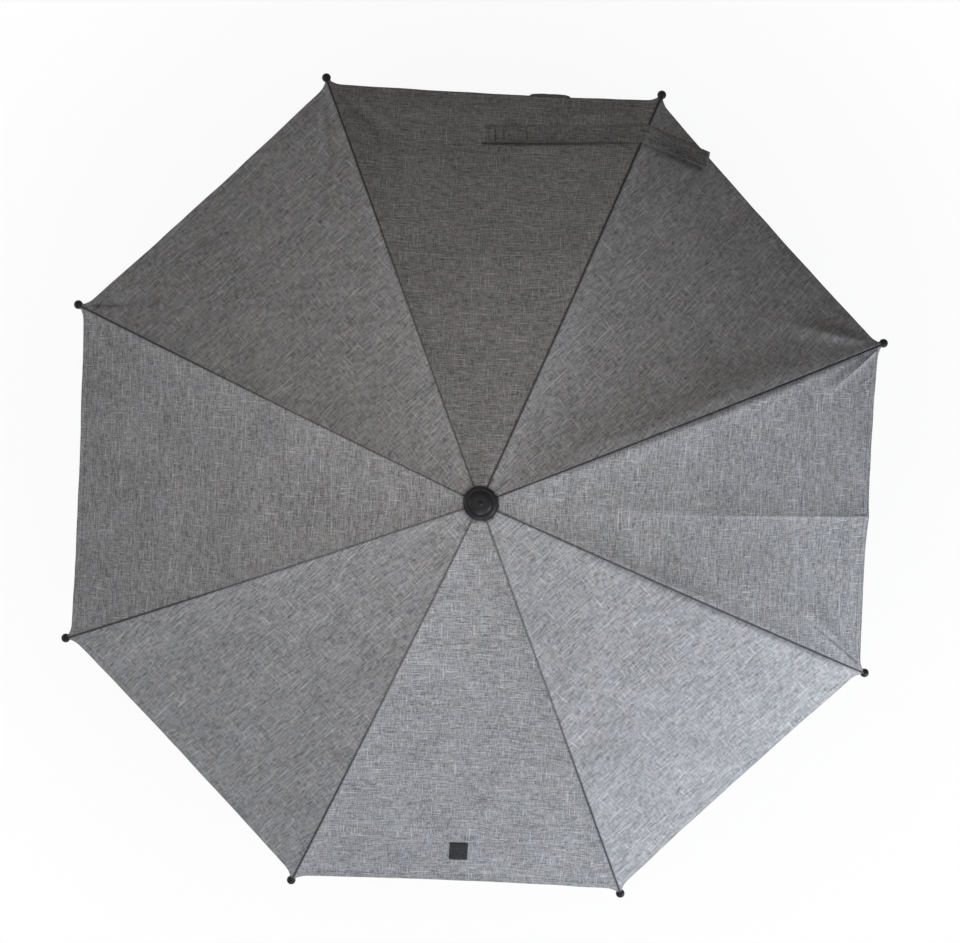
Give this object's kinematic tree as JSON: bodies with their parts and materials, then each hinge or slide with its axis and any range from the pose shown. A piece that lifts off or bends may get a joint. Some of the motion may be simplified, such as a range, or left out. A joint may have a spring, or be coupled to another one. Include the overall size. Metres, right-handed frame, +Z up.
{
  "type": "pram parasol",
  "caption": "Folding clip-on parasol with a gored cloth canopy on hinged ribs, a sliding runner, a tilting shaft and a screw clamp for a pram tube.",
  "frame": {"origin": "axis of the pram tube at the middle of the clamp", "axes": "+Z up along the shaft towards the canopy, +Y along the pram tube, +X towards the clamp knob"},
  "size_m": [0.643, 0.643, 0.7445],
  "materials": {
    "cloth": "grey melange plain weave",
    "strap_cloth": "grey melange plain weave",
    "washer_felt": "black woven",
    "gloss_black": "glossy",
    "black_plastic": "fine matt grain",
    "knob_plastic": "satin",
    "shaft_paint": "satin black lacquer",
    "rib_steel": "black lacquer",
    "steel": "zinc plated"
  },
  "bodies": {
    "clamp": {"clamp_body": "black_plastic"},
    "jaw": {"clamp_jaw": "black_plastic"},
    "screw": {"clamp_screw": "knob_plastic"},
    "socket": {"swivel_socket": "black_plastic", "lower_shaft": "shaft_paint", "tilt_fork": "black_plastic", "tilt_pin": "steel"},
    "swivel_lock": {"swivel_knob": "knob_plastic"},
    "upper": {"tilt_head": "black_plastic", "upper_shaft": "shaft_paint", "crown_notch": "black_plastic", "crown_ring": "steel", "apex_washer": "washer_felt", "ferrule_cap": "gloss_black"},
    "button": {"tilt_button": "knob_plastic"},
    "catch": {"runner_catch": "steel"},
    "runner": {"runner": "black_plastic", "runner_ring": "steel"},
    "rib_1": {"rib_1": "rib_steel", "rib_tip_1": "gloss_black"},
    "stretcher_1": {"stretcher_1": "rib_steel"},
    "gore_1_right": {"gore_1_right": "cloth"},
    "gore_1_left": {"gore_1_left": "cloth", "tie_strap_tail": "strap_cloth"},
    "rib_2": {"rib_2": "rib_steel", "rib_tip_2": "gloss_black"},
    "stretcher_2": {"stretcher_2": "rib_steel"},
    "gore_2_right": {"gore_2_right": "cloth", "tie_strap": "strap_cloth"},
    "gore_2_left": {"gore_2_left": "cloth"},
    "rib_3": {"rib_3": "rib_steel", "rib_tip_3": "gloss_black"},
    "stretcher_3": {"stretcher_3": "rib_steel"},
    "gore_3_right": {"gore_3_right": "cloth"},
    "gore_3_left": {"gore_3_left": "cloth"},
    "rib_4": {"rib_4": "rib_steel", "rib_tip_4": "gloss_black"},
    "stretcher_4": {"stretcher_4": "rib_steel"},
    "gore_4_right": {"gore_4_right": "cloth"},
    "gore_4_left": {"gore_4_left": "cloth"},
    "rib_5": {"rib_5": "rib_steel", "rib_tip_5": "gloss_black"},
    "stretcher_5": {"stretcher_5": "rib_steel"},
    "gore_5_right": {"gore_5_right": "cloth"},
    "gore_5_left": {"gore_5_left": "cloth"},
    "rib_6": {"rib_6": "rib_steel", "rib_tip_6": "gloss_black"},
    "stretcher_6": {"stretcher_6": "rib_steel"},
    "gore_6_right": {"gore_6_right": "cloth"},
    "gore_6_left": {"gore_6_left": "cloth"},
    "rib_7": {"rib_7": "rib_steel", "rib_tip_7": "gloss_black"},
    "stretcher_7": {"stretcher_7": "rib_steel"},
    "gore_7_right": {"gore_7_right": "cloth"},
    "gore_7_left": {"gore_7_left": "cloth"},
    "rib_8": {"rib_8": "rib_steel", "rib_tip_8": "gloss_black"},
    "stretcher_8": {"stretcher_8": "rib_steel"},
    "gore_8_right": {"gore_8_right": "cloth"},
    "gore_8_left": {"gore_8_left": "cloth"}
  },
  "joints": [
    {"name": "jaw_slide", "type": "slide", "parent": "clamp", "child": "jaw", "axis": [1, 0, 0], "range_m": [-0.0071, 0.0071]},
    {"name": "clamp_screw_turn", "type": "hinge", "parent": "jaw", "child": "screw", "pos_m": [0.04, 0, 0], "axis": [1, 0, 0], "range_deg": [-1260, 1260]},
    {"name": "socket_swivel", "type": "hinge", "parent": "clamp", "child": "socket", "pos_m": [-0.038, 0, 0], "axis": [1, 0, 0], "range_deg": [-90, 90]},
    {"name": "swivel_knob_turn", "type": "hinge", "parent": "clamp", "child": "swivel_lock", "pos_m": [-0.038, 0, 0], "axis": [-1, 0, 0], "range_deg": [0, 180]},
    {"name": "shaft_tilt", "type": "hinge", "parent": "socket", "child": "upper", "pos_m": [-0.038, 0, 0.31], "axis": [0, 1, 0], "range_deg": [-90, 90]},
    {"name": "tilt_button_press", "type": "slide", "parent": "socket", "child": "button", "axis": [0, -1, 0], "range_m": [0, 0.002], "stiffness_N_per_m": 800},
    {"name": "runner_catch_press", "type": "slide", "parent": "upper", "child": "catch", "axis": [-1, 0, 0], "range_m": [0, 0.0022], "stiffness_N_per_m": 600},
    {"name": "canopy_fold", "type": "hinge", "parent": "upper", "child": "rib_1", "pos_m": [-0.02784, 0.00421, 0.7], "axis": [-0.3827, 0.9239, 0], "range_deg": [0, 65.76], "deforming": ["gore_1_right", "gore_1_left", "gore_2_right", "gore_2_left", "gore_3_right", "gore_3_left", "gore_4_right", "gore_4_left", "gore_5_right", "gore_5_left", "gore_6_right", "gore_6_left", "gore_7_right", "gore_7_left", "gore_8_right", "gore_8_left", "tie_strap", "tie_strap_tail"]},
    {"name": "stretcher_1_fold", "type": "hinge", "parent": "rib_1", "child": "stretcher_1", "pos_m": [0.10467, 0.0591, 0.65641], "axis": [-0.3827, 0.9239, 0], "range_deg": [-132.53, 1]},
    {"name": "runner_pivot", "type": "hinge", "parent": "stretcher_1", "child": "runner", "pos_m": [-0.02784, 0.00421, 0.61282], "axis": [-0.3827, 0.9239, 0], "range_deg": [-0.5, 66.26]},
    {"name": "gore_1_right_fold", "type": "hinge", "parent": "rib_1", "child": "gore_1_right", "pos_m": [-0.0258, 0.00505, 0.70171], "axis": [0.8645, 0.3581, -0.3527], "range_deg": [-0.5, 70.89]},
    {"name": "gore_1_left_fold", "type": "hinge", "parent": "gore_1_right", "child": "gore_1_left", "pos_m": [-0.02938, 0.00862, 0.70171], "axis": [0.6541, 0.6541, -0.3799], "range_deg": [-169.24, 0.5]},
    {"name": "rib_2_fold", "type": "hinge", "parent": "upper", "child": "rib_2", "pos_m": [-0.03379, 0.01016, 0.7], "axis": [-0.9239, 0.3827, 0], "range_deg": [-0.5, 66.26]},
    {"name": "stretcher_2_fold", "type": "hinge", "parent": "rib_2", "child": "stretcher_2", "pos_m": [0.0211, 0.14267, 0.65641], "axis": [-0.9239, 0.3827, 0], "range_deg": [-132.53, 1]},
    {"name": "gore_2_right_fold", "type": "hinge", "parent": "rib_2", "child": "gore_2_right", "pos_m": [-0.03295, 0.0122, 0.70171], "axis": [0.3581, 0.8645, -0.3527], "range_deg": [-0.5, 70.89]},
    {"name": "gore_2_left_fold", "type": "hinge", "parent": "gore_2_right", "child": "gore_2_left", "pos_m": [-0.038, 0.0122, 0.70171], "axis": [0, 0.925, -0.3799], "range_deg": [-169.24, 0.5]},
    {"name": "rib_3_fold", "type": "hinge", "parent": "upper", "child": "rib_3", "pos_m": [-0.04221, 0.01016, 0.7], "axis": [-0.9239, -0.3827, 0], "range_deg": [-0.5, 66.26]},
    {"name": "stretcher_3_fold", "type": "hinge", "parent": "rib_3", "child": "stretcher_3", "pos_m": [-0.0971, 0.14267, 0.65641], "axis": [-0.9239, -0.3827, 0], "range_deg": [-132.53, 1]},
    {"name": "gore_3_right_fold", "type": "hinge", "parent": "rib_3", "child": "gore_3_right", "pos_m": [-0.04305, 0.0122, 0.70171], "axis": [-0.3581, 0.8645, -0.3527], "range_deg": [-0.5, 70.89]},
    {"name": "gore_3_left_fold", "type": "hinge", "parent": "gore_3_right", "child": "gore_3_left", "pos_m": [-0.04662, 0.00862, 0.70171], "axis": [-0.6541, 0.6541, -0.3799], "range_deg": [-169.24, 0.5]},
    {"name": "rib_4_fold", "type": "hinge", "parent": "upper", "child": "rib_4", "pos_m": [-0.04816, 0.00421, 0.7], "axis": [-0.3827, -0.9239, 0], "range_deg": [-0.5, 66.26]},
    {"name": "stretcher_4_fold", "type": "hinge", "parent": "rib_4", "child": "stretcher_4", "pos_m": [-0.18067, 0.0591, 0.65641], "axis": [-0.3827, -0.9239, 0], "range_deg": [-132.53, 1]},
    {"name": "gore_4_right_fold", "type": "hinge", "parent": "rib_4", "child": "gore_4_right", "pos_m": [-0.0502, 0.00505, 0.70171], "axis": [-0.8645, 0.3581, -0.3527], "range_deg": [-0.5, 70.89]},
    {"name": "gore_4_left_fold", "type": "hinge", "parent": "gore_4_right", "child": "gore_4_left", "pos_m": [-0.0502, 0, 0.70171], "axis": [-0.925, 0, -0.3799], "range_deg": [-169.24, 0.5]},
    {"name": "rib_5_fold", "type": "hinge", "parent": "upper", "child": "rib_5", "pos_m": [-0.04816, -0.00421, 0.7], "axis": [0.3827, -0.9239, 0], "range_deg": [-0.5, 66.26]},
    {"name": "stretcher_5_fold", "type": "hinge", "parent": "rib_5", "child": "stretcher_5", "pos_m": [-0.18067, -0.0591, 0.65641], "axis": [0.3827, -0.9239, 0], "range_deg": [-132.53, 1]},
    {"name": "gore_5_right_fold", "type": "hinge", "parent": "rib_5", "child": "gore_5_right", "pos_m": [-0.0502, -0.00505, 0.70171], "axis": [-0.8645, -0.3581, -0.3527], "range_deg": [-0.5, 70.89]},
    {"name": "gore_5_left_fold", "type": "hinge", "parent": "gore_5_right", "child": "gore_5_left", "pos_m": [-0.04662, -0.00862, 0.70171], "axis": [-0.6541, -0.6541, -0.3799], "range_deg": [-169.24, 0.5]},
    {"name": "rib_6_fold", "type": "hinge", "parent": "upper", "child": "rib_6", "pos_m": [-0.04221, -0.01016, 0.7], "axis": [0.9239, -0.3827, 0], "range_deg": [-0.5, 66.26]},
    {"name": "stretcher_6_fold", "type": "hinge", "parent": "rib_6", "child": "stretcher_6", "pos_m": [-0.0971, -0.14267, 0.65641], "axis": [0.9239, -0.3827, 0], "range_deg": [-132.53, 1]},
    {"name": "gore_6_right_fold", "type": "hinge", "parent": "rib_6", "child": "gore_6_right", "pos_m": [-0.04305, -0.0122, 0.70171], "axis": [-0.3581, -0.8645, -0.3527], "range_deg": [-0.5, 70.89]},
    {"name": "gore_6_left_fold", "type": "hinge", "parent": "gore_6_right", "child": "gore_6_left", "pos_m": [-0.038, -0.0122, 0.70171], "axis": [0, -0.925, -0.3799], "range_deg": [-169.24, 0.5]},
    {"name": "rib_7_fold", "type": "hinge", "parent": "upper", "child": "rib_7", "pos_m": [-0.03379, -0.01016, 0.7], "axis": [0.9239, 0.3827, 0], "range_deg": [-0.5, 66.26]},
    {"name": "stretcher_7_fold", "type": "hinge", "parent": "rib_7", "child": "stretcher_7", "pos_m": [0.0211, -0.14267, 0.65641], "axis": [0.9239, 0.3827, 0], "range_deg": [-132.53, 1]},
    {"name": "gore_7_right_fold", "type": "hinge", "parent": "rib_7", "child": "gore_7_right", "pos_m": [-0.03295, -0.0122, 0.70171], "axis": [0.3581, -0.8645, -0.3527], "range_deg": [-0.5, 70.89]},
    {"name": "gore_7_left_fold", "type": "hinge", "parent": "gore_7_right", "child": "gore_7_left", "pos_m": [-0.02938, -0.00862, 0.70171], "axis": [0.6541, -0.6541, -0.3799], "range_deg": [-169.24, 0.5]},
    {"name": "rib_8_fold", "type": "hinge", "parent": "upper", "child": "rib_8", "pos_m": [-0.02784, -0.00421, 0.7], "axis": [0.3827, 0.9239, 0], "range_deg": [-0.5, 66.26]},
    {"name": "stretcher_8_fold", "type": "hinge", "parent": "rib_8", "child": "stretcher_8", "pos_m": [0.10467, -0.0591, 0.65641], "axis": [0.3827, 0.9239, 0], "range_deg": [-132.53, 1]},
    {"name": "gore_8_right_fold", "type": "hinge", "parent": "rib_8", "child": "gore_8_right", "pos_m": [-0.0258, -0.00505, 0.70171], "axis": [0.8645, -0.3581, -0.3527], "range_deg": [-0.5, 70.89]},
    {"name": "gore_8_left_fold", "type": "hinge", "parent": "gore_8_right", "child": "gore_8_left", "pos_m": [-0.0258, 0, 0.70171], "axis": [0.925, 0, -0.3799], "range_deg": [-169.24, 0.5]}
  ],
  "couplings": [
    {"joint": "jaw_slide", "follows": "clamp_screw_turn", "m_per_rad": 0.00031831},
    {"joint": "stretcher_1_fold", "follows": "canopy_fold", "ratio": -2},
    {"joint": "runner_pivot", "follows": "canopy_fold", "ratio": 1},
    {"joint": "gore_1_right_fold", "follows": "canopy_fold", "ratio": 1.0704},
    {"joint": "gore_1_left_fold", "follows": "canopy_fold", "ratio": -2.5659},
    {"joint": "rib_2_fold", "follows": "canopy_fold", "ratio": 1},
    {"joint": "stretcher_2_fold", "follows": "canopy_fold", "ratio": -2},
    {"joint": "gore_2_right_fold", "follows": "canopy_fold", "ratio": 1.0704},
    {"joint": "gore_2_left_fold", "follows": "canopy_fold", "ratio": -2.5659},
    {"joint": "rib_3_fold", "follows": "canopy_fold", "ratio": 1},
    {"joint": "stretcher_3_fold", "follows": "canopy_fold", "ratio": -2},
    {"joint": "gore_3_right_fold", "follows": "canopy_fold", "ratio": 1.0704},
    {"joint": "gore_3_left_fold", "follows": "canopy_fold", "ratio": -2.5659},
    {"joint": "rib_4_fold", "follows": "canopy_fold", "ratio": 1},
    {"joint": "stretcher_4_fold", "follows": "canopy_fold", "ratio": -2},
    {"joint": "gore_4_right_fold", "follows": "canopy_fold", "ratio": 1.0704},
    {"joint": "gore_4_left_fold", "follows": "canopy_fold", "ratio": -2.5659},
    {"joint": "rib_5_fold", "follows": "canopy_fold", "ratio": 1},
    {"joint": "stretcher_5_fold", "follows": "canopy_fold", "ratio": -2},
    {"joint": "gore_5_right_fold", "follows": "canopy_fold", "ratio": 1.0704},
    {"joint": "gore_5_left_fold", "follows": "canopy_fold", "ratio": -2.5659},
    {"joint": "rib_6_fold", "follows": "canopy_fold", "ratio": 1},
    {"joint": "stretcher_6_fold", "follows": "canopy_fold", "ratio": -2},
    {"joint": "gore_6_right_fold", "follows": "canopy_fold", "ratio": 1.0704},
    {"joint": "gore_6_left_fold", "follows": "canopy_fold", "ratio": -2.5659},
    {"joint": "rib_7_fold", "follows": "canopy_fold", "ratio": 1},
    {"joint": "stretcher_7_fold", "follows": "canopy_fold", "ratio": -2},
    {"joint": "gore_7_right_fold", "follows": "canopy_fold", "ratio": 1.0704},
    {"joint": "gore_7_left_fold", "follows": "canopy_fold", "ratio": -2.5659},
    {"joint": "rib_8_fold", "follows": "canopy_fold", "ratio": 1},
    {"joint": "stretcher_8_fold", "follows": "canopy_fold", "ratio": -2},
    {"joint": "gore_8_right_fold", "follows": "canopy_fold", "ratio": 1.0704},
    {"joint": "gore_8_left_fold", "follows": "canopy_fold", "ratio": -2.5659}
  ]
}
